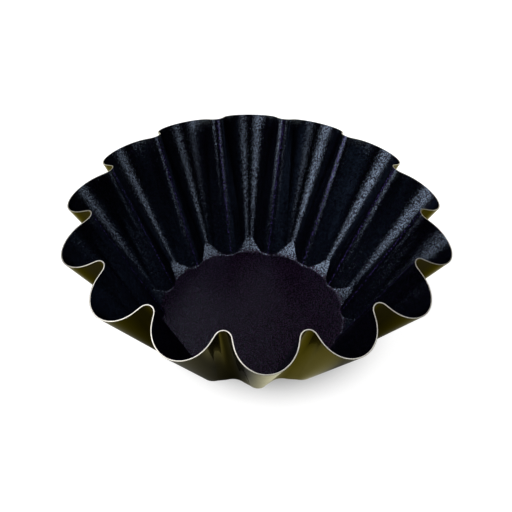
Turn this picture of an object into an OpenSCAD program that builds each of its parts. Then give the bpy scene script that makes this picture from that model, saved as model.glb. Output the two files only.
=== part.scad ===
// Fluted brioche mould: one round steel blank pressed into wide lobes and narrow
// folds, with a non-stick coat inside and a lacquer coat outside.
// Millimetres, +Z up, origin at the centre of the underside. One lobe faces -Y.
// All sizes of the form are taken on the inside face, as on the press punch.

/* [Rim] */
// Number of lobes round the mould
flutes = 14; // [12:2:16]
// Diameter across the tips of the lobes
rim_lobe_d = 219; // [212:0.5:226]
// How far the lobes stand out beyond the folds at the rim
rim_flute = 17.75; // [14:0.25:20]
// Radius of a lobe
rim_lobe_r = 16.3; // [12:0.1:17]
// Radius of a fold
rim_fold_r = 5; // [3:0.1:7]
// Depth inside, from the floor to the tips of the folds
depth = 80; // [60:0.5:95]
// How much lower the rim ends at the lobes than at the folds
rim_dip = 10.6; // [0:0.1:15]

/* [Foot] */
// Diameter of the flat floor
floor_d = 110; // [108:0.5:114]
// How far the folds reach inside the edge of the floor
fold_inset = 1.5; // [0.5:0.1:4]
// How far the lobes stand out beyond the folds, carried on down to the floor
foot_flute = 6.25; // [4:0.25:9]
// Radius of a lobe at the foot
foot_lobe_r = 4.6; // [3:0.1:6]
// Radius of a fold at the foot
foot_fold_r = 9.4; // [7:0.1:11]
// Slope of the facet that closes the foot of each lobe, in degrees
facet_slope = 32; // [25:1:38]
// Width of the rounded corner along the edge of the floor
corner_w = 1.2; // [0.6:0.1:2]

/* [Layers] */
// Thickness of the steel sheet
sheet_t = 0.6; // [0.4:0.05:1]
// Thickness of the non-stick coat inside
lining_t = 0.05; // [0.03:0.01:0.15]
// Thickness of the lacquer coat outside
lacquer_t = 0.05; // [0.03:0.01:0.15]

/* [Hidden] */

// Depths of the four faces, measured outwards from the inside face
steel_in = lining_t;
steel_out = steel_in + sheet_t;
shell_t = steel_out + lacquer_t;

// Steps of the mesh: along half a lobe, along half a fold and up the wall
lobe_steps = 4;
fold_steps = 2;
wall_steps = 3;

// Rows of the grid: edge of the floor, top of the corner, foot of the wall, wall
row_floor = 0;
row_corner = row_floor + 1;
row_foot = row_corner + 1;
row_rim = row_foot + wall_steps;
rows = row_rim + 1;

half_pitch = 180 / flutes;
first_lobe = -90;
floor_z = shell_t;
floor_r = floor_d / 2;
// Radii to the tips of the lobes and folds, at the rim and at the foot
rim_lobe_tip = rim_lobe_d / 2;
rim_fold_tip = rim_lobe_tip - rim_flute;
foot_fold_tip = floor_r - fold_inset;
foot_lobe_tip = foot_fold_tip + foot_flute;
// The rim falls a little faster near the lobe tips than in proportion to the radius
dip_power = 1.1;
// The wall starts at least this far above the floor, in corner widths
foot_rise = 3;
// Least straight flank between a lobe and a fold; their fillets leave room for it
flank_least = 1;
// Plate that makes the floor one plane, well inside the ring where the corner begins
plate_r = foot_fold_tip - 2 * corner_w;
plate_sides = 96;

function unit(v) = v / norm(v);
function turn(v, a) = [v.x * cos(a) - v.y * sin(a), v.x * sin(a) + v.y * cos(a)];
function flat(p) = [p.x, p.y];
function arc(c, r, a0, a1, n) =
    [for (i = [0 : n]) c + r * [cos(a0 + (a1 - a0) * i / n), sin(a0 + (a1 - a0) * i / n)]];

// Centres of the lobe and fold arcs, with the lobe on the X axis
function lobe_centre(tip_r, lobe_r) = [tip_r - lobe_r, 0];
function fold_centre(tip_r, fold_r) = (tip_r + fold_r) * [cos(half_pitch), sin(half_pitch)];
function reach(lobe_tip, fold_tip, lobe_r, fold_r) =
    norm(fold_centre(fold_tip, fold_r) - lobe_centre(lobe_tip, lobe_r));

// Largest share of both radii that still leaves the least flank between the arcs
function fillet_share(lobe_tip, fold_tip, lobe_r, fold_r) =
    max([for (s = [0.2 : 0.01 : 1])
        if (norm([s * (lobe_r + fold_r), flank_least])
            <= reach(lobe_tip, fold_tip, s * lobe_r, s * fold_r)) s]);

// Half a flute, from the lobe tip to the fold tip: arc, straight flank, arc
function half_flute(lobe_tip, fold_tip, lobe_r, fold_r) =
    let (a = lobe_centre(lobe_tip, lobe_r),
         b = fold_centre(fold_tip, fold_r),
         along = atan2(b.y - a.y, b.x - a.x),
         end = along - acos((lobe_r + fold_r) / norm(b - a)))
    concat(arc(a, lobe_r, 0, end, lobe_steps),
           arc(b, fold_r, 180 + end, 180 + half_pitch, fold_steps));

// Closed outline of all flutes; every flute starts just past a fold tip
function outline(lobe_tip, fold_tip, lobe_r, fold_r) =
    let (s = fillet_share(lobe_tip, fold_tip, lobe_r, fold_r),
         half = half_flute(lobe_tip, fold_tip, s * lobe_r, s * fold_r),
         mirrored = [for (i = [len(half) - 2 : -1 : 1]) [half[i].x, -half[i].y]],
         flute = concat(mirrored, half))
    [for (k = [0 : flutes - 1]) for (p = flute) turn(p, first_lobe + 2 * half_pitch * k)];

foot_line = outline(foot_lobe_tip, foot_fold_tip, foot_lobe_r, foot_fold_r);
rim_line = outline(rim_lobe_tip, rim_fold_tip, rim_lobe_r, rim_fold_r);
cols = len(foot_line);
flute_cols = cols / flutes;
half_cols = flute_cols / 2;

// Height of the rim over a point of its outline, lower towards the lobe tips
function rim_z(p) =
    let (w = (norm(p) - rim_fold_tip) / rim_flute)
    floor_z + depth - rim_dip * pow(min(max(w, 0), 1), dip_power);

// A straight line up the wall in column i, from the floor plane to the rim
function low(i) = [foot_line[i].x, foot_line[i].y, floor_z];
function high(i) = [rim_line[i].x, rim_line[i].y, rim_z(rim_line[i])];
function wall_at(i, t) = low(i) + t * (high(i) - low(i));

// Where that line leaves the cone of the facets, which starts at the edge of the
// floor: the positive root of a quadratic, or 0 where a fold reaches inside the floor
function facet_t(i) =
    let (p = flat(low(i)),
         run = flat(high(i)) - p,
         rise = (high(i).z - floor_z) / tan(facet_slope),
         a = rise * rise - run * run,
         b = rise * floor_r - p * run,
         c = floor_r * floor_r - p * p)
    c >= 0 ? 0 : (sqrt(b * b - a * c) - b) / a;

// The foot of the wall in column i, and the sharp corner of the floor below it
function foot_t(i) = max(facet_t(i), foot_rise * corner_w / norm(high(i) - low(i)));
function foot(i) = wall_at(i, foot_t(i));
function edge(i) =
    norm(foot_line[i]) < floor_r ? low(i) :
    let (d = unit(flat(wall_at(i, facet_t(i))))) [floor_r * d.x, floor_r * d.y, floor_z];

// Column i of the inside face, from the edge of the floor to the rim
function column(i) =
    let (e = edge(i),
         inward = unit(flat(e)),
         t0 = foot_t(i))
    concat([e - corner_w * [inward.x, inward.y, 0]],
           [e + corner_w * unit(foot(i) - e)],
           [for (j = [0 : wall_steps]) wall_at(i, t0 + (1 - t0) * j / wall_steps)]);

grid = [for (i = [0 : cols - 1]) column(i)];

// Direction square to the sheet at each point of the grid, pointing outwards
function outward(i, j) =
    j == row_floor ? [0, 0, -1] :
    let (next = grid[(i + 1) % cols][j],
         last = grid[(i + cols - 1) % cols][j],
         upper = grid[i][min(j + 1, row_rim)],
         lower = grid[i][j == row_corner ? j : j - 1])
    unit(cross(next - last, upper - lower));

normals = [for (i = [0 : cols - 1]) [for (j = [0 : row_rim]) outward(i, j)]];

// Points of the face that lies a given distance outside the inside face, row by row,
// with the centre of the floor last
function face_points(offset) =
    concat([for (j = [0 : row_rim]) for (i = [0 : cols - 1]) grid[i][j] + offset * normals[i][j]],
           [[0, 0, floor_z - offset]]);

// Both halves of a flute split their quads the mirrored way, so that it stays symmetric
function rising(i) =
    let (q = i % flute_cols)
    q < half_cols - 1 || q == flute_cols - 1;
function quad(a, b, c, d, rise) = rise ? [[a, b, c], [a, c, d]] : [[a, b, d], [b, c, d]];

// Triangles of one face; the inner one looks up into the mould, the outer one away
function face_triangles(base, inner) =
    let (centre = base + rows * cols)
    concat(
        [for (j = [0 : row_rim - 1]) for (i = [0 : cols - 1])
            let (n = (i + 1) % cols,
                 a = base + j * cols + i,
                 b = base + j * cols + n,
                 c = base + (j + 1) * cols + n,
                 d = base + (j + 1) * cols + i)
            for (f = quad(a, b, c, d, rising(i))) inner ? f : [f[2], f[1], f[0]]],
        [for (i = [0 : cols - 1])
            let (a = base + i,
                 b = base + (i + 1) % cols)
            inner ? [centre, b, a] : [centre, a, b]]);

// Triangles of the cut edge that joins both faces along the rim
function rim_triangles(inner_base, outer_base) =
    [for (i = [0 : cols - 1])
        let (n = (i + 1) % cols,
             a = inner_base + row_rim * cols + i,
             b = inner_base + row_rim * cols + n,
             c = outer_base + row_rim * cols + n,
             d = outer_base + row_rim * cols + i)
        for (f = quad(a, b, c, d, rising(i))) f];

// One layer of the shell between two distances from the inside face
module layer(from, to) {
    face_size = rows * cols + 1;
    union() {
        polyhedron(
            points = concat(face_points(from), face_points(to)),
            faces = concat(face_triangles(0, true),
                           face_triangles(face_size, false),
                           rim_triangles(0, face_size)),
            convexity = 10);
        translate([0, 0, floor_z - to]) cylinder(h = to - from, r = plate_r, $fn = plate_sides);
    }
}

module steel_shell() {
    color("silver") layer(steel_in, steel_out);
}

module nonstick_lining() {
    color([0.10, 0.10, 0.13]) layer(0, steel_in);
}

module outer_lacquer() {
    color([0.36, 0.36, 0.20]) layer(steel_out, shell_t);
}

steel_shell();
nonstick_lining();
outer_lacquer();
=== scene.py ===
"""Looks of a fluted non-stick brioche mould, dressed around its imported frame.

The mould is one pressed steel sheet with two coats. Each layer is worked out as a
closed surface from the same inside face, so that the layers meet everywhere.
Lengths are in metres, +Z is up, and one lobe of the wall points at -Y.
"""

import logging
import math
from dataclasses import dataclass, field
from enum import Enum

import bpy
import numpy as np
from mathutils import Matrix, Vector


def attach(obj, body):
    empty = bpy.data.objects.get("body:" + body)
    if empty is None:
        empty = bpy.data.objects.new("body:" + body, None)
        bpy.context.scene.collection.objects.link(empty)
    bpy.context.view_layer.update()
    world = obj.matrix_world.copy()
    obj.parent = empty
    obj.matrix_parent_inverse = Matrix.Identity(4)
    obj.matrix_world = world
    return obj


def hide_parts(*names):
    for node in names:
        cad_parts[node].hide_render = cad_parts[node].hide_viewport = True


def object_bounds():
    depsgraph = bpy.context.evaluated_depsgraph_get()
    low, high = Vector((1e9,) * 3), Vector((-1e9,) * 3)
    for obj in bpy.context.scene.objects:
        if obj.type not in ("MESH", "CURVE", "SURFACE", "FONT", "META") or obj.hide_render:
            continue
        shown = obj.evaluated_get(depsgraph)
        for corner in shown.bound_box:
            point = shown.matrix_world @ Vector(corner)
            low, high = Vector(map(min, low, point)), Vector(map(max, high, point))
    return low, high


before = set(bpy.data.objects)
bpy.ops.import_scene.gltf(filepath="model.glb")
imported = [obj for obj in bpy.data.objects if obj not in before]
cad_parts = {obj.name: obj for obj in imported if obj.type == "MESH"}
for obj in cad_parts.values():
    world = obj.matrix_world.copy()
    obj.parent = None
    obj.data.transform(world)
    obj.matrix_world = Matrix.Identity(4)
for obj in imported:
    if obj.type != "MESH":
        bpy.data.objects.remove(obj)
cad_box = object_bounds()

LOG = logging.getLogger("brioche_mould")
MM = 0.001
UP = np.array([0.0, 0.0, 1.0])
FLUTES = 14
WHITE = "#ffffff"

# Least divisor
TINY = 1e-9

# Least angle between two faces that stays a sharp edge
SHARP_ANGLE_DEG = 35.0

# Values that a noise mostly stays between
NOISE_SPAN = (0.3, 0.7)

# Sockets of the nodes that turn one range of values into another
FROM = ("From Min", "From Max")
TO = ("To Min", "To Max")

# Numbers of the two colour sockets of the nodes that mix
FIRST = 6
SECOND = 7


class Layer(Enum):
    """The three bonded layers of the wall, named as their CAD nodes."""

    STEEL = "steel_shell"
    LINING = "nonstick_lining"
    LACQUER = "outer_lacquer"


def srgb(code: str) -> tuple[float, float, float, float]:
    """Turns an sRGB hex colour into the linear colour that shaders take.

    Args:
        code: Six hex digits after a hash sign.

    Returns:
        Linear red, green and blue, and one for the fourth channel.
    """
    parts = np.array([int(code[i : i + 2], 16) for i in (1, 3, 5)]) / 255.0
    linear = np.where(parts <= 0.04045, parts / 12.92, ((parts + 0.055) / 1.055) ** 2.4)
    return (*linear.tolist(), 1.0)


def add_node(
    tree: bpy.types.NodeTree,
    kind: str,
    settings: dict[str, object] | None = None,
    inputs: dict[str | int, object] | None = None,
) -> bpy.types.Node:
    """Adds a node, sets its properties, and fills its sockets.

    Args:
        tree: Node tree that gets the node.
        kind: Blender's type name of the node.
        settings: Property names and values.
        inputs: Socket names or numbers, each with a value, a socket to link from, or a
            node to link from, at the first output that its settings leave in use.

    Returns:
        The new node.
    """
    node = tree.nodes.new(kind)
    for name, value in (settings or {}).items():
        setattr(node, name, value)
    for name, value in (inputs or {}).items():
        if isinstance(value, bpy.types.Node):
            value = next(output for output in value.outputs if output.enabled)
        if isinstance(value, bpy.types.NodeSocket):
            tree.links.new(value, node.inputs[name])
        else:
            node.inputs[name].default_value = value
    return node


def new_material(name: str) -> tuple[bpy.types.Material, bpy.types.NodeTree]:
    """Makes an empty node material.

    Args:
        name: Name of the material.

    Returns:
        The material and its node tree, without nodes.
    """
    material = bpy.data.materials.new(name)
    material.use_nodes = True
    material.node_tree.nodes.clear()
    return material, material.node_tree


def add_object(name: str, data: bpy.types.ID, place: Matrix | None = None) -> bpy.types.Object:
    """Puts a mesh, a lamp or a camera into the scene.

    Args:
        name: Name of the new object.
        data: What it shows.
        place: Its position and turn, or nothing for the origin.

    Returns:
        The new object.
    """
    piece = bpy.data.objects.new(name, data)
    if place is not None:
        piece.matrix_world = place
    bpy.context.scene.collection.objects.link(piece)
    return piece


def unit(vectors: np.ndarray) -> np.ndarray:
    """Scales vectors along the last axis to length one.

    Args:
        vectors: Array whose last axis holds the components.

    Returns:
        Array of the same shape.
    """
    return vectors / np.linalg.norm(vectors, axis=-1, keepdims=True)


def loft(name: str, rings: np.ndarray, start: np.ndarray, end: np.ndarray) -> bpy.types.Object:
    """Skins a stack of closed rings and closes both ends with a pole.

    The surface point of ring j and column i is rings[j, i]; column i runs on from the
    last to the first. Rings run so that columns go anticlockwise seen from above while
    the first rings grow outwards, which makes every face point out of the solid.

    Args:
        name: Name of the new object.
        rings: Points, with shape (rings, columns, 3).
        start: Pole inside the first ring.
        end: Pole inside the last ring.

    Returns:
        The new mesh object, linked into the scene.
    """
    count, columns = rings.shape[:2]
    index = np.arange(count * columns).reshape(count, columns)
    following = np.roll(index, -1, axis=1)
    quads = np.stack([index[:-1], index[1:], following[1:], following[:-1]], axis=-1).reshape(-1, 4)
    first, last = count * columns, count * columns + 1
    opening = np.stack([np.full(columns, first), index[0], following[0]], axis=-1)
    closing = np.stack([np.full(columns, last), following[-1], index[-1]], axis=-1)
    points = np.concatenate([rings.reshape(-1, 3), [start], [end]])
    faces = quads.tolist() + opening.tolist() + closing.tolist()
    mesh = bpy.data.meshes.new(name)
    mesh.from_pydata(points.tolist(), [], faces)
    mesh.update()
    mesh.polygons.foreach_set("use_smooth", np.ones(len(faces), dtype=bool))
    mesh.set_sharp_from_angle(angle=math.radians(SHARP_ANGLE_DEG))
    return add_object(name, mesh)


@dataclass(frozen=True)
class FluteOutline:
    """One closed outline of lobes and folds, seen from above.

    Attributes:
        lobe_d: Diameter across the lobe tips.
        fold_d: Diameter across the fold tips.
        lobe_r: Radius of a lobe.
        fold_r: Radius of a fold.
    """

    lobe_d: float
    fold_d: float
    lobe_r: float
    fold_r: float

    def points(self, flutes: int, spans: tuple[int, int, int]) -> np.ndarray:
        """Works out the outline as arcs joined by their common inner tangents.

        Half a flute is an arc about a centre one lobe radius inside the lobe tip, a
        straight flank, and an arc about a centre one fold radius outside the fold tip.
        The flank touches both circles, so its normal leans from the line between the
        centres by the angle whose cosine is the sum of the radii over their distance.

        Args:
            flutes: Number of lobes.
            spans: Steps along half a lobe, along a flank and along half a fold.

        Returns:
            Points in the plane, with shape (columns, 2), starting just past a fold tip.
        """
        lobe_steps, flank_steps, fold_steps = spans
        half_pitch = math.pi / flutes
        lobe = np.array([self.lobe_d / 2 - self.lobe_r, 0.0])
        fold = (self.fold_d / 2 + self.fold_r) * np.array([math.cos(half_pitch), math.sin(half_pitch)])
        span = fold - lobe
        lean = math.acos((self.lobe_r + self.fold_r) / np.linalg.norm(span))
        end = math.atan2(span[1], span[0]) - lean
        turn = np.linspace(0.0, end, lobe_steps + 1)
        lobe_arc = lobe + self.lobe_r * np.stack([np.cos(turn), np.sin(turn)], axis=-1)
        turn = np.linspace(math.pi + end, math.pi + half_pitch, fold_steps + 1)
        fold_arc = fold + self.fold_r * np.stack([np.cos(turn), np.sin(turn)], axis=-1)
        share = np.linspace(0.0, 1.0, flank_steps + 1)[1:-1, None]
        flank = lobe_arc[-1] * (1 - share) + fold_arc[0] * share
        half = np.concatenate([lobe_arc, flank, fold_arc])
        flute = np.concatenate([half[-2:0:-1] * [1.0, -1.0], half])
        angle = -math.pi / 2 + 2 * half_pitch * np.arange(flutes)[:, None]
        x = flute[:, 0] * np.cos(angle) - flute[:, 1] * np.sin(angle)
        y = flute[:, 0] * np.sin(angle) + flute[:, 1] * np.cos(angle)
        return np.stack([x.ravel(), y.ravel()], axis=-1)


@dataclass(frozen=True)
class PunchForm:
    """The inside face of the mould, as the press punch gives it to the sheet.

    Straight lines run up the wall from the outline at the foot to the outline at the
    rim. A cone closes the foot of every lobe with a facet, and the corners along the
    floor and along the facets are rounded.

    Attributes:
        flutes: Number of lobes.
        rim: Outline at the rim.
        foot: Outline of the wall carried on down to the floor.
        depth: Height of the fold tips above the floor.
        rim_dip: How much lower the rim lies at the lobe tips.
        dip_power: Above one, the rim falls faster near the lobe tips.
        floor_d: Diameter of the flat floor.
        facet_slope: Slope of the facets, in degrees.
        rounding: Distance from a sharp corner to where its rounding begins.
        least_facet: Least facet left between its two roundings, as a share of one.
        gather: Below one, the rings of the floor gather towards its edge.
        spans: Steps along half a lobe, a flank and half a fold.
        rows: Steps across the floor, its corner, the facet, its upper corner, the wall.
    """

    flutes: int = FLUTES
    rim: FluteOutline = FluteOutline(
        lobe_d=219.0 * MM, fold_d=183.5 * MM, lobe_r=16.3 * MM, fold_r=5.0 * MM
    )
    foot: FluteOutline = FluteOutline(
        lobe_d=119.5 * MM, fold_d=107.0 * MM, lobe_r=4.6 * MM, fold_r=9.4 * MM
    )
    depth: float = 80.0 * MM
    rim_dip: float = 10.6 * MM
    dip_power: float = 1.1
    floor_d: float = 110.0 * MM
    facet_slope: float = 32.0
    rounding: float = 1.1 * MM
    least_facet: float = 0.1
    gather: float = 0.7
    spans: tuple[int, int, int] = (24, 4, 18)
    rows: tuple[int, int, int, int, int] = (3, 5, 3, 5, 9)

    def corners(self, floor_z: float) -> tuple[np.ndarray, np.ndarray, np.ndarray]:
        """Finds the corners of every column's line from the floor to the rim.

        The facet's cone rises from the floor's edge by the tangent of its slope times
        the radius beyond it. Where the wall's line meets the cone, the square of the
        radius on the line equals the square of the radius on the cone, a quadratic
        with one positive root. Columns whose line starts inside the floor's edge have
        no facet.

        Args:
            floor_z: Height of the floor.

        Returns:
            The floor's edge, the foot of the wall and the rim, each (columns, 3).
        """
        low = self.foot.points(self.flutes, self.spans)
        high = self.rim.points(self.flutes, self.spans)
        flute = self.rim.lobe_d - self.rim.fold_d
        reach = (np.linalg.norm(high, axis=1) - self.rim.fold_d / 2) * 2 / flute
        rise = self.depth - self.rim_dip * np.clip(reach, 0.0, 1.0) ** self.dip_power
        floor_r = self.floor_d / 2
        run = high - low
        cone_run = rise / math.tan(math.radians(self.facet_slope))
        a = cone_run**2 - (run**2).sum(axis=1)
        b = cone_run * floor_r - (low * run).sum(axis=1)
        c = floor_r**2 - (low**2).sum(axis=1)
        beyond = c < 0
        share = np.where(beyond, (np.sqrt(np.maximum(b * b - a * c, 0.0)) - b) / a, 0.0)
        foot = low + share[:, None] * run
        edge = np.where(beyond[:, None], floor_r * unit(foot), low)
        lift = [np.zeros_like(rise), share * rise, rise]
        return tuple(
            np.column_stack([plan, floor_z + height])
            for plan, height in zip((edge, foot, high), lift)
        )

    def face(self, floor_z: float) -> np.ndarray:
        """Works out the rounded inside face.

        Every column is a line of three straight legs: across the floor, up the facet
        and up the wall. A point of the face is the mean of that line over one rounding
        either way, which leaves the legs straight and turns each corner into a smooth
        curve. The mean is a difference of the line's integral, which is quadratic on
        each leg.

        Args:
            floor_z: Height of the floor.

        Returns:
            Points with shape (rows, columns, 3), from near the centre to the rim.
        """
        edge, foot, rim = self.corners(floor_z)
        facet = np.linalg.norm(foot - edge, axis=1)
        wall = np.linalg.norm(rim - foot, axis=1)
        flat = unit(edge * [1.0, 1.0, 0.0])
        up_wall = unit(rim - foot)
        no_facet = (facet == 0)[:, None]
        up_facet = np.where(no_facet, up_wall, (foot - edge) / np.maximum(facet, TINY)[:, None])

        def integral(s: np.ndarray) -> np.ndarray:
            """Integrates each column's line from the floor's edge on.

            Args:
                s: Distances along the line, less than zero on the floor.

            Returns:
                The integral of position over distance, with one more axis than s.
            """
            on_floor = np.minimum(s, 0.0)[..., None]
            on_facet = np.clip(s, 0.0, facet)[..., None]
            on_wall = np.maximum(s - facet, 0.0)[..., None]
            return (
                edge * (on_floor + on_facet)
                + flat * on_floor**2 / 2
                + up_facet * on_facet**2 / 2
                + foot * on_wall
                + up_wall * on_wall**2 / 2
            )

        r = self.rounding
        least = self.least_facet * r
        corner_end = np.minimum(r, facet / 2)
        crease_start = np.maximum(facet - corner_end, corner_end + least)
        crease_end = np.maximum(facet + r, crease_start + r)
        marks = [np.full_like(facet, -r), corner_end, crease_start, crease_end, facet + wall]
        steps = []
        for begin, finish, count in zip(marks, marks[1:], self.rows[1:]):
            share = np.linspace(0.0, 1.0, count + 1)[1:, None]
            steps.append(begin + (finish - begin) * share)
        s = np.concatenate([marks[0][None], *steps])
        curved = (integral(s + r) - integral(s - r)) / (2 * r)
        share = np.linspace(0.0, 1.0, self.rows[0] + 1)[1:-1, None, None] ** self.gather
        centre = np.array([0.0, 0.0, floor_z])
        inner = centre + (curved[0] - centre) * share
        return np.concatenate([inner, curved])

    def outward(self, face: np.ndarray) -> np.ndarray:
        """Finds the direction square to the sheet, away from the cavity.

        It is the cross product of the step to the next column and the step to the next
        row, and straight down on the flat floor.

        Args:
            face: Points of the inside face.

        Returns:
            Unit vectors of the same shape.
        """
        along = np.roll(face, -1, axis=1) - np.roll(face, 1, axis=1)
        normals = unit(np.cross(along, np.gradient(face, axis=0)))
        normals[: self.rows[0]] = -UP
        return normals


@dataclass(frozen=True)
class NonStickCoat:
    """Black non-stick polymer with mica flecks, sprayed and baked to a soft gloss.

    Attributes:
        dark: Colour of the polymer.
        haze: Colour of the polymer where fine grit shows through it.
        floor_spots_and_sheen: The same on the floor, partly its own colour and partly a painted sheen.
        floor_band: Heights above the floor between which its colour gives way to the haze.
        fewer_floor_flecks: How many flecks fewer the floor shows, as a step of the fleck noise.
        crest_highlight: Colour of a painted highlight, a lighter purple line along each fold's crest.
        crest: Half the width of a crest, as a share of the pitch of the folds.
        crest_fleck_loss: How many flecks the painted crest highlight hides, as a step of the fleck noise.
        mica: Colour that the mica flecks mirror.
        sheen: Colour of the polymer's own reflection.
        index: Refractive index of the polymer.
        fleck: Values of the fleck noise between which the coat turns into metal.
        heart: Values of the fleck noise between which the metal turns into mica.
        spot: Values of the grit noise between which a spot shows.
        gloss: Least and greatest roughness.
        grain: Width of a fleck, drawn about twice as coarse as the real one to show.
        mottle: Width of a spot of grit.
        patch: Width of the slow changes in gloss.
        peel: Width of an orange-peel dimple.
        peel_depth: Depth of a dimple.
        tooth: Width of the fine roughness between the dimples.
        tooth_depth: Depth of that roughness.
    """

    dark: str = "#020104"
    haze: str = "#0f0a1a"
    floor_spots_and_sheen: str = "#231428"
    floor_band: tuple[float, float] = (0.9 * MM, 2.4 * MM)
    fewer_floor_flecks: float = 0.1
    crest_highlight: str = "#453672"
    crest: float = 0.036
    crest_fleck_loss: float = 0.04
    mica: str = "#555f6d"
    sheen: str = "#8a8c98"
    index: float = 1.42
    fleck: tuple[float, float] = (0.49, 0.55)
    heart: tuple[float, float] = (0.55, 0.68)
    spot: tuple[float, float] = (0.46, 0.54)
    gloss: tuple[float, float] = (0.12, 0.14)
    grain: float = 0.7 * MM
    mottle: float = 0.8 * MM
    patch: float = 18.0 * MM
    peel: float = 0.8 * MM
    peel_depth: float = 0.14 * MM
    tooth: float = 0.25 * MM
    tooth_depth: float = 0.04 * MM

    def on_crest(self, tree: bpy.types.NodeTree, axes: bpy.types.NodeOutputs) -> bpy.types.Node:
        """Finds the crests of the folds.

        The angle round the mould is counted in pitches from the lobe at -Y and folded
        back at every half pitch, which gives 0 along a lobe and 0.5 along a fold.

        Args:
            tree: Node tree that gets the nodes.
            axes: The coordinates, one by one.

        Returns:
            A node that gives 1 on a crest and 0 beside it.
        """
        fold = 0.5
        turn = add_node(tree, "ShaderNodeMath", {"operation": "ARCTAN2"}, {0: axes["Y"], 1: axes["X"]})
        pitches = add_node(
            tree,
            "ShaderNodeMath",
            {"operation": "MULTIPLY_ADD"},
            {0: turn, 1: FLUTES / (2 * math.pi), 2: FLUTES / 4},
        )
        from_lobe = add_node(tree, "ShaderNodeMath", {"operation": "PINGPONG"}, {0: pitches, 1: fold})
        return add_node(
            tree,
            "ShaderNodeMapRange",
            inputs={"Value": from_lobe, "From Min": fold - self.crest, "From Max": fold},
        )

    def material(self) -> bpy.types.Material:
        """Builds the material on object coordinates.

        Returns:
            The finished material.
        """
        material, tree = new_material("black_nonstick_coat")
        place = add_node(tree, "ShaderNodeTexCoord").outputs["Object"]
        axes = add_node(tree, "ShaderNodeSeparateXYZ", inputs={"Vector": place}).outputs
        noises = (
            (self.grain, 1.0),
            (self.mottle, 0.0),
            (self.patch, 2.0),
            (self.peel, 1.0),
            (self.tooth, 0.0),
        )
        grain, mottle, patch, peel, tooth = (
            add_node(
                tree, "ShaderNodeTexNoise", inputs={"Vector": place, "Scale": 1 / width, "Detail": octaves}
            )
            for width, octaves in noises
        )
        # 0 on the floor, where its own colour with painted sheen shows, and 1 on the wall above
        clear = add_node(
            tree, "ShaderNodeMapRange", inputs={"Value": axes["Z"], **dict(zip(FROM, self.floor_band))}
        )
        # Where the painted crest highlight lies, kept off the floor
        crest = add_node(
            tree, "ShaderNodeMath", {"operation": "MULTIPLY"}, {0: self.on_crest(tree, axes), 1: clear}
        )
        left = add_node(
            tree, "ShaderNodeMath", {"operation": "MULTIPLY_ADD"}, {0: crest, 1: -self.crest_fleck_loss, 2: grain}
        )
        shown = add_node(
            tree, "ShaderNodeMath", {"operation": "MULTIPLY_ADD"}, {0: clear, 1: self.fewer_floor_flecks, 2: left}
        )
        metal, heart, spotted = (
            add_node(tree, "ShaderNodeMapRange", inputs={"Value": value, **dict(zip(FROM, span))})
            for value, span in ((shown, self.fleck), (shown, self.heart), (mottle, self.spot))
        )
        # On the floor the spots take the floor's colour with its painted sheen; above it, the haze
        spots = add_node(
            tree,
            "ShaderNodeMix",
            {"data_type": "RGBA"},
            {"Factor": clear, FIRST: srgb(self.floor_spots_and_sheen), SECOND: srgb(self.haze)},
        )
        # Painted highlight: a lighter purple line along the crests of the folds
        highlighted = add_node(
            tree,
            "ShaderNodeMix",
            {"data_type": "RGBA"},
            {"Factor": crest, FIRST: spots, SECOND: srgb(self.crest_highlight)},
        )
        body = add_node(
            tree,
            "ShaderNodeMix",
            {"data_type": "RGBA"},
            {"Factor": spotted, FIRST: srgb(self.dark), SECOND: highlighted},
        )
        colour = add_node(
            tree,
            "ShaderNodeMix",
            {"data_type": "RGBA"},
            {"Factor": heart, FIRST: body, SECOND: srgb(self.mica)},
        )
        gloss = add_node(
            tree,
            "ShaderNodeMapRange",
            inputs={"Value": patch, **dict(zip(FROM + TO, NOISE_SPAN + self.gloss))},
        )
        dimples = add_node(tree, "ShaderNodeBump", inputs={"Height": peel, "Distance": self.peel_depth})
        relief = add_node(
            tree,
            "ShaderNodeBump",
            inputs={"Height": tooth, "Distance": self.tooth_depth, "Normal": dimples},
        )
        surface = add_node(
            tree,
            "ShaderNodeBsdfPrincipled",
            inputs={
                "Base Color": colour,
                "Metallic": metal,
                "Roughness": gloss,
                "IOR": self.index,
                "Specular Tint": srgb(self.sheen),
                "Normal": relief,
            },
        )
        add_node(tree, "ShaderNodeOutputMaterial", inputs={"Surface": surface})
        return material


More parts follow.
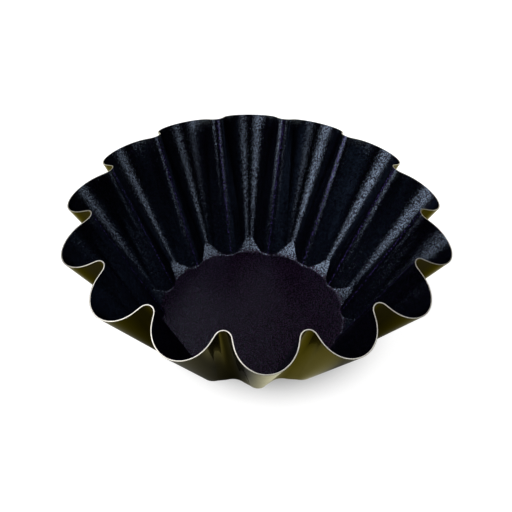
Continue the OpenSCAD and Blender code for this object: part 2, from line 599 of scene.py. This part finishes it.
@dataclass(frozen=True)
class BronzeLacquer:
    """Dark olive-bronze baking lacquer on steel: a deep gloss that shows its tint aslant.

    Attributes:
        light: Colour of the lacquered steel where the film is thin.
        deep: Colour where the film is thicker.
        aslant: Tint of what it mirrors at a low angle.
        gloss: Least and greatest roughness.
        drift: Width of the slow changes in film thickness.
        peel: Width of the faint waves in the film.
        peel_depth: Depth of the waves.
        peel_strength: How strongly they turn the light.
    """

    light: str = "#322e1d"
    deep: str = "#242014"
    aslant: str = "#cdc9b1"
    gloss: tuple[float, float] = (0.08, 0.14)
    drift: float = 14.0 * MM
    peel: float = 1.6 * MM
    peel_depth: float = 0.02 * MM
    peel_strength: float = 0.25

    def material(self) -> bpy.types.Material:
        """Builds the material on object coordinates.

        Returns:
            The finished material.
        """
        material, tree = new_material("olive_bronze_lacquer_on_steel")
        place = add_node(tree, "ShaderNodeTexCoord").outputs["Object"]
        film, waves = (
            add_node(
                tree, "ShaderNodeTexNoise", inputs={"Vector": place, "Scale": 1 / width, "Detail": octaves}
            )
            for width, octaves in ((self.drift, 3.0), (self.peel, 1.0))
        )
        colour = add_node(
            tree,
            "ShaderNodeMix",
            {"data_type": "RGBA"},
            {"Factor": film, FIRST: srgb(self.light), SECOND: srgb(self.deep)},
        )
        gloss = add_node(
            tree,
            "ShaderNodeMapRange",
            inputs={"Value": film, **dict(zip(FROM + TO, NOISE_SPAN + self.gloss))},
        )
        relief = add_node(
            tree,
            "ShaderNodeBump",
            inputs={"Height": waves, "Strength": self.peel_strength, "Distance": self.peel_depth},
        )
        surface = add_node(
            tree,
            "ShaderNodeBsdfPrincipled",
            inputs={
                "Base Color": colour,
                "Metallic": 1.0,
                "Roughness": gloss,
                "Specular Tint": srgb(self.aslant),
                "Normal": relief,
            },
        )
        add_node(tree, "ShaderNodeOutputMaterial", inputs={"Surface": surface})
        return material


@dataclass(frozen=True)
class ShearedSteel:
    """Cold-rolled steel bared by the trimming shear: bright, with a fine burr.

    Attributes:
        bright: Colour of the clean cut.
        dull: Colour of the rubbed places.
        gloss: Least and greatest roughness.
        burr: Width of the marks along the cut.
        burr_depth: Depth of the marks.
        burr_strength: How strongly they turn the light.
    """

    bright: str = "#e3e0da"
    dull: str = "#b9b4aa"
    gloss: tuple[float, float] = (0.32, 0.5)
    burr: float = 0.8 * MM
    burr_depth: float = 0.02 * MM
    burr_strength: float = 0.3

    def material(self) -> bpy.types.Material:
        """Builds the material on object coordinates.

        Returns:
            The finished material.
        """
        material, tree = new_material("sheared_sheet_steel")
        place = add_node(tree, "ShaderNodeTexCoord").outputs["Object"]
        marks = add_node(
            tree, "ShaderNodeTexNoise", inputs={"Vector": place, "Scale": 1 / self.burr, "Detail": 3.0}
        )
        colour = add_node(
            tree,
            "ShaderNodeMix",
            {"data_type": "RGBA"},
            {"Factor": marks, FIRST: srgb(self.bright), SECOND: srgb(self.dull)},
        )
        gloss = add_node(
            tree,
            "ShaderNodeMapRange",
            inputs={"Value": marks, **dict(zip(FROM + TO, NOISE_SPAN + self.gloss))},
        )
        relief = add_node(
            tree,
            "ShaderNodeBump",
            inputs={"Height": marks, "Strength": self.burr_strength, "Distance": self.burr_depth},
        )
        surface = add_node(
            tree,
            "ShaderNodeBsdfPrincipled",
            inputs={"Base Color": colour, "Metallic": 1.0, "Roughness": gloss, "Normal": relief},
        )
        add_node(tree, "ShaderNodeOutputMaterial", inputs={"Surface": surface})
        return material


@dataclass(frozen=True)
class CoatedShell:
    """The pressed shell: steel between a non-stick coat and a lacquer coat.

    Attributes:
        form: Inside face of the mould.
        lining_t: Thickness of the non-stick coat.
        sheet_t: Thickness of the steel.
        lacquer_t: Thickness of the lacquer.
        edge_r: Softening of the steel's cut edge.
        retreat: How far both coats draw back from the cut edge.
        edge_bevel: Where the softening is cut off, as a share of edge_r.
    """

    form: PunchForm = field(default_factory=PunchForm)
    lining_t: float = 0.05 * MM
    sheet_t: float = 0.6 * MM
    lacquer_t: float = 0.05 * MM
    edge_r: float = 0.12 * MM
    retreat: float = 0.04 * MM
    edge_bevel: float = 0.3

    def build(self) -> dict[Layer, bpy.types.Object]:
        """Builds the three layers as closed surfaces.

        Returns:
            The mesh object of each layer.
        """
        steel_in = self.lining_t
        steel_out = steel_in + self.sheet_t
        shell_t = steel_out + self.lacquer_t
        face = self.form.face(shell_t)
        outward = self.form.outward(face)
        up = unit(face[-1] - face[-2])
        r = self.edge_r
        bevel = self.edge_bevel * r
        round_edge = [
            (-bevel, steel_in + bevel),
            (0.0, steel_in + r),
            (0.0, steel_out - r),
            (-bevel, steel_out - bevel),
        ]
        sections = {
            Layer.STEEL: (steel_in, steel_out, -r, round_edge),
            Layer.LINING: (0.0, steel_in, -self.retreat, []),
            Layer.LACQUER: (steel_out, shell_t, -self.retreat, []),
        }
        pieces = {}
        for layer, (near, far, top, edge) in sections.items():
            body = face.copy()
            body[-1] += top * up
            cut = [face[-1] + rise * up + depth * outward[-1] for rise, depth in edge]
            far_side = (body + far * outward)[::-1]
            rings = np.concatenate([body + near * outward, *(ring[None] for ring in cut), far_side])
            poles = (shell_t - near) * UP, (shell_t - far) * UP
            pieces[layer] = loft(layer.value + "_surface", rings, *poles)
        return pieces

    def dress(self, pieces: dict[Layer, bpy.types.Object]) -> None:
        """Gives each layer its finish and seats it on the frame.

        Args:
            pieces: The mesh object of each layer.
        """
        finishes = {
            Layer.STEEL: (ShearedSteel(), "bare_steel"),
            Layer.LINING: (NonStickCoat(), "nonstick_coat"),
            Layer.LACQUER: (BronzeLacquer(), "bronze_lacquer"),
        }
        for layer, (finish, slot) in finishes.items():
            piece = pieces[layer]
            piece.data.materials.append(finish.material())
            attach(piece, "root")
            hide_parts(layer.value)
            LOG.info("%s: %d faces", piece.name, len(piece.data.polygons))


@dataclass(frozen=True)
class PhotoCamera:
    """The photograph's viewpoint, found from the outline of the rim.

    Attributes:
        azimuth: Turn from straight in front, in degrees.
        elevation: Height above the horizon, in degrees.
        roll: Tilt of the picture, in degrees.
        distance: From the camera to the pivot, along the view.
        pivot_z: Height of the pivot on the mould's axis.
        aside: How far right of the view's axis the pivot lies.
        above: How far above the view's axis the pivot lies.
        lens: Focal length for the sensor width.
        sensor: Sensor width, in Blender's millimetres.
        nearest: Nearest thing that the camera shows.
    """

    azimuth: float = -4.382
    elevation: float = 42.609
    roll: float = 2.577
    distance: float = 587.1 * MM
    pivot_z: float = 80.7 * MM
    aside: float = 0.80 * MM
    above: float = 24.24 * MM
    lens: float = 74.05
    sensor: float = 36.0
    nearest: float = 10.0 * MM

    def build(self) -> bpy.types.Object:
        """Makes the camera and sets it as the scene's.

        Returns:
            The camera object.
        """
        angles = (self.azimuth, self.elevation, self.roll)
        around, up, tilt = (math.radians(angle) for angle in angles)
        out = math.cos(up)
        back = Vector((math.sin(around) * out, -math.cos(around) * out, math.sin(up)))
        level = (-back).cross(Vector(UP)).normalized()
        over = level.cross(-back)
        right = math.cos(tilt) * level + math.sin(tilt) * over
        top = -math.sin(tilt) * level + math.cos(tilt) * over
        pivot = Vector((0.0, 0.0, self.pivot_z))
        place = pivot + self.distance * back - self.aside * right - self.above * top
        data = bpy.data.cameras.new("photo_camera")
        data.sensor_width = self.sensor
        data.lens = self.lens
        data.clip_start = self.nearest
        turn = Matrix((right, top, back)).transposed().to_4x4()
        camera = add_object("photo_camera", data, Matrix.Translation(place) @ turn)
        bpy.context.scene.camera = camera
        return camera


def toward(azimuth: float, elevation: float) -> Vector:
    """Gives the direction from the mould to a light.

    Args:
        azimuth: Turn from +Y towards +X, in degrees.
        elevation: Height above the horizon, in degrees.

    Returns:
        Unit vector.
    """
    around, up = math.radians(azimuth), math.radians(elevation)
    return Vector((math.sin(around) * math.cos(up), math.cos(around) * math.cos(up), math.sin(up)))


def facing(away: Vector) -> Matrix:
    """Turns a lamp so that it shines back along a direction.

    Args:
        away: Direction from the mould to the lamp.

    Returns:
        The turn.
    """
    return away.to_track_quat("Z", "Y").to_matrix().to_4x4()


@dataclass(frozen=True)
class BroadLight:
    """A far, round, even light, like a large ceiling bounce.

    Attributes:
        name: Name of the lamp.
        azimuth: Direction from the mould, in degrees from +Y towards +X.
        elevation: Height above the horizon, in degrees.
        spread: Angular width, in degrees.
        strength: Irradiance on a surface square to it.
    """

    name: str
    azimuth: float
    elevation: float
    spread: float
    strength: float

    def build(self) -> bpy.types.Object:
        """Makes the lamp.

        Returns:
            The lamp object.
        """
        data = bpy.data.lights.new(self.name, "SUN")
        data.energy = self.strength
        data.angle = math.radians(self.spread)
        return add_object(self.name, data, facing(toward(self.azimuth, self.elevation)))


@dataclass(frozen=True)
class SoftPanel:
    """A softbox that faces the mould.

    Attributes:
        name: Name of the lamp.
        azimuth: Direction from the mould, in degrees from +Y towards +X.
        elevation: Height above the horizon, in degrees.
        distance: From the mould.
        width: Width of the panel.
        height: Height of the panel.
        radiance: Brightness of its surface.
    """

    name: str
    azimuth: float
    elevation: float
    distance: float
    width: float
    height: float
    radiance: float

    def build(self, target: Vector) -> bpy.types.Object:
        """Makes the lamp, turned to the target.

        Args:
            target: Point that the panel faces.

        Returns:
            The lamp object.
        """
        away = toward(self.azimuth, self.elevation)
        data = bpy.data.lights.new(self.name, "AREA")
        data.shape = "RECTANGLE"
        data.size = self.width
        data.size_y = self.height
        data.energy = self.radiance * math.pi * self.width * self.height
        place = Matrix.Translation(target + self.distance * away) @ facing(away)
        return add_object(self.name, data, place)


def fade(
    tree: bpy.types.NodeTree,
    place: bpy.types.NodeSocket,
    middle: tuple[float, float],
    radii: tuple[float, float],
    levels: tuple[float, float],
) -> bpy.types.Node:
    """Adds a level that changes smoothly with the distance from a point on the table.

    Args:
        tree: Node tree that gets the nodes.
        place: Position on the table.
        middle: The point.
        radii: Distances where the change starts and ends.
        levels: Levels there.

    Returns:
        A node that gives the level.
    """
    away = add_node(
        tree, "ShaderNodeVectorMath", {"operation": "DISTANCE"}, {0: place, 1: (*middle, 0.0)}
    )
    return add_node(
        tree,
        "ShaderNodeMapRange",
        {"interpolation_type": "SMOOTHSTEP"},
        {"Value": away, **dict(zip(FROM + TO, radii + levels))},
    )


@dataclass(frozen=True)
class Studio:
    """White table, soft overhead light, panels at both sides and behind, and a dim room.

    Attributes:
        table_size: Side of the white table.
        table: Colour of the table.
        dullness: Roughness of the table.
        table_sheen: Specular level of the table.
        bounce: Colour of the mirrored table, a painted warm bounce from the lacquer above it.
        lift: Share of white that the table shows to the eye by itself.
        shadow: Middle of a painted soft shadow round the mould's foot, away from the key light.
        shade: Radii round it between which the eye sees the lift fade in, painting that shadow.
        mirrored_lift: The share that it shows to mirrors.
        mirrored_shade: Radii between which that share fades in, a painted shade under the mould.
        pool: Middle of a painted pool of light under the front of the mould, seen mirrored.
        pool_radii: Radii between which the pool fades out.
        pool_lift: Strength of the pool.
        room: Brightness of the room's ambient light.
        skies: The broad overhead lights.
        panels: The softboxes.
    """

    table_size: float = 60.0
    table: str = "#9e9e9e"
    dullness: float = 0.9
    table_sheen: float = 0.1
    bounce: str = "#fffcda"
    lift: float = 0.92
    shadow: tuple[float, float] = (11.0 * MM, -1.0 * MM)
    shade: tuple[float, float] = (30.0 * MM, 78.0 * MM)
    mirrored_lift: float = 0.8
    mirrored_shade: tuple[float, float] = (66.0 * MM, 172.0 * MM)
    pool: tuple[float, float] = (18.0 * MM, -68.0 * MM)
    pool_radii: tuple[float, float] = (8.0 * MM, 34.0 * MM)
    pool_lift: float = 0.74
    room: float = 0.005
    skies: tuple[BroadLight, ...] = (
        BroadLight("key_sky", azimuth=-95.0, elevation=60.0, spread=71.0, strength=2.4),
        BroadLight("fill_sky", azimuth=92.0, elevation=57.0, spread=46.0, strength=0.68),
    )
    panels: tuple[SoftPanel, ...] = (
        SoftPanel(
            "left_panel",
            azimuth=-118.0,
            elevation=20.0,
            distance=1.2,
            width=1.1,
            height=0.55,
            radiance=2.0,
        ),
        SoftPanel(
            "right_panel",
            azimuth=140.0,
            elevation=24.0,
            distance=1.3,
            width=0.6,
            height=0.5,
            radiance=1.4,
        ),
        SoftPanel(
            "back_panel",
            azimuth=-18.0,
            elevation=42.0,
            distance=1.2,
            width=0.6,
            height=0.3,
            radiance=1.2,
        ),
    )

    def table_material(self) -> bpy.types.Material:
        """Builds the table's material, bright by itself for the eye and for mirrors.

        Returns:
            The finished material.
        """
        material, tree = new_material("white_table")
        place = add_node(tree, "ShaderNodeTexCoord").outputs["Object"]
        axis = (0.0, 0.0)
        # Painted shade under the mould and a painted pool of light, both seen only in mirrors
        far = fade(tree, place, axis, self.mirrored_shade, (0.0, self.mirrored_lift))
        pool = fade(tree, place, self.pool, self.pool_radii, (self.pool_lift, 0.0))
        mirrored = add_node(tree, "ShaderNodeMath", {"operation": "MAXIMUM"}, {0: far, 1: pool})
        path = add_node(tree, "ShaderNodeLightPath").outputs
        mirror = add_node(
            tree,
            "ShaderNodeMath",
            {"operation": "MAXIMUM"},
            {0: path["Is Glossy Ray"], 1: path["Is Transmission Ray"]},
        )
        # Painted soft shadow round the mould's foot, as the eye sees the table
        plain = fade(tree, place, self.shadow, self.shade, (0.0, self.lift))
        seen = add_node(
            tree, "ShaderNodeMath", {"operation": "MULTIPLY"}, {0: path["Is Camera Ray"], 1: plain}
        )
        lift = add_node(
            tree, "ShaderNodeMath", {"operation": "MULTIPLY_ADD"}, {0: mirror, 1: mirrored, 2: seen}
        )
        # Painted warm tint on the table as mirrors see it
        tint = add_node(
            tree,
            "ShaderNodeMix",
            {"data_type": "RGBA"},
            {"Factor": mirror, FIRST: srgb(WHITE), SECOND: srgb(self.bounce)},
        )
        surface = add_node(
            tree,
            "ShaderNodeBsdfPrincipled",
            inputs={
                "Base Color": srgb(self.table),
                "Roughness": self.dullness,
                "Specular IOR Level": self.table_sheen,
                "Emission Color": tint,
                "Emission Strength": lift,
            },
        )
        add_node(tree, "ShaderNodeOutputMaterial", inputs={"Surface": surface})
        return material

    def build_table(self) -> bpy.types.Object:
        """Makes the white table, which keeps the mould's shadow.

        Returns:
            The table object.
        """
        half = self.table_size / 2
        corners = [(-half, -half, 0), (half, -half, 0), (half, half, 0), (-half, half, 0)]
        mesh = bpy.data.meshes.new("table")
        mesh.from_pydata(corners, [], [(0, 1, 2, 3)])
        mesh.materials.append(self.table_material())
        table = add_object("table", mesh)
        return table

    def build_lights(self, target: Vector) -> None:
        """Makes the overhead light, the panels and the room.

        Args:
            target: Point that the panels face.
        """
        for sky in self.skies:
            sky.build()
        for panel in self.panels:
            panel.build(target)
        world = bpy.data.worlds.new("dim_room")
        world.use_nodes = True
        world.node_tree.nodes.clear()
        tree = world.node_tree
        light = {"Color": srgb(WHITE), "Strength": self.room}
        air = add_node(tree, "ShaderNodeBackground", inputs=light)
        add_node(tree, "ShaderNodeOutputWorld", inputs={"Surface": air})
        bpy.context.scene.world = world


def main() -> None:
    """Builds the mould, its finishes and the studio, in order."""
    logging.basicConfig(level=logging.INFO, format="%(name)s: %(message)s")
    bpy.context.scene.view_settings.view_transform = "Standard"
    shell = CoatedShell()
    shell.dress(shell.build())
    studio = Studio()
    studio.build_table()
    low, high = cad_box
    studio.build_lights((low + high) / 2)
    camera = PhotoCamera().build()
    LOG.info("camera at %s", tuple(round(place, 3) for place in camera.location))


if __name__ == "__main__":
    main()
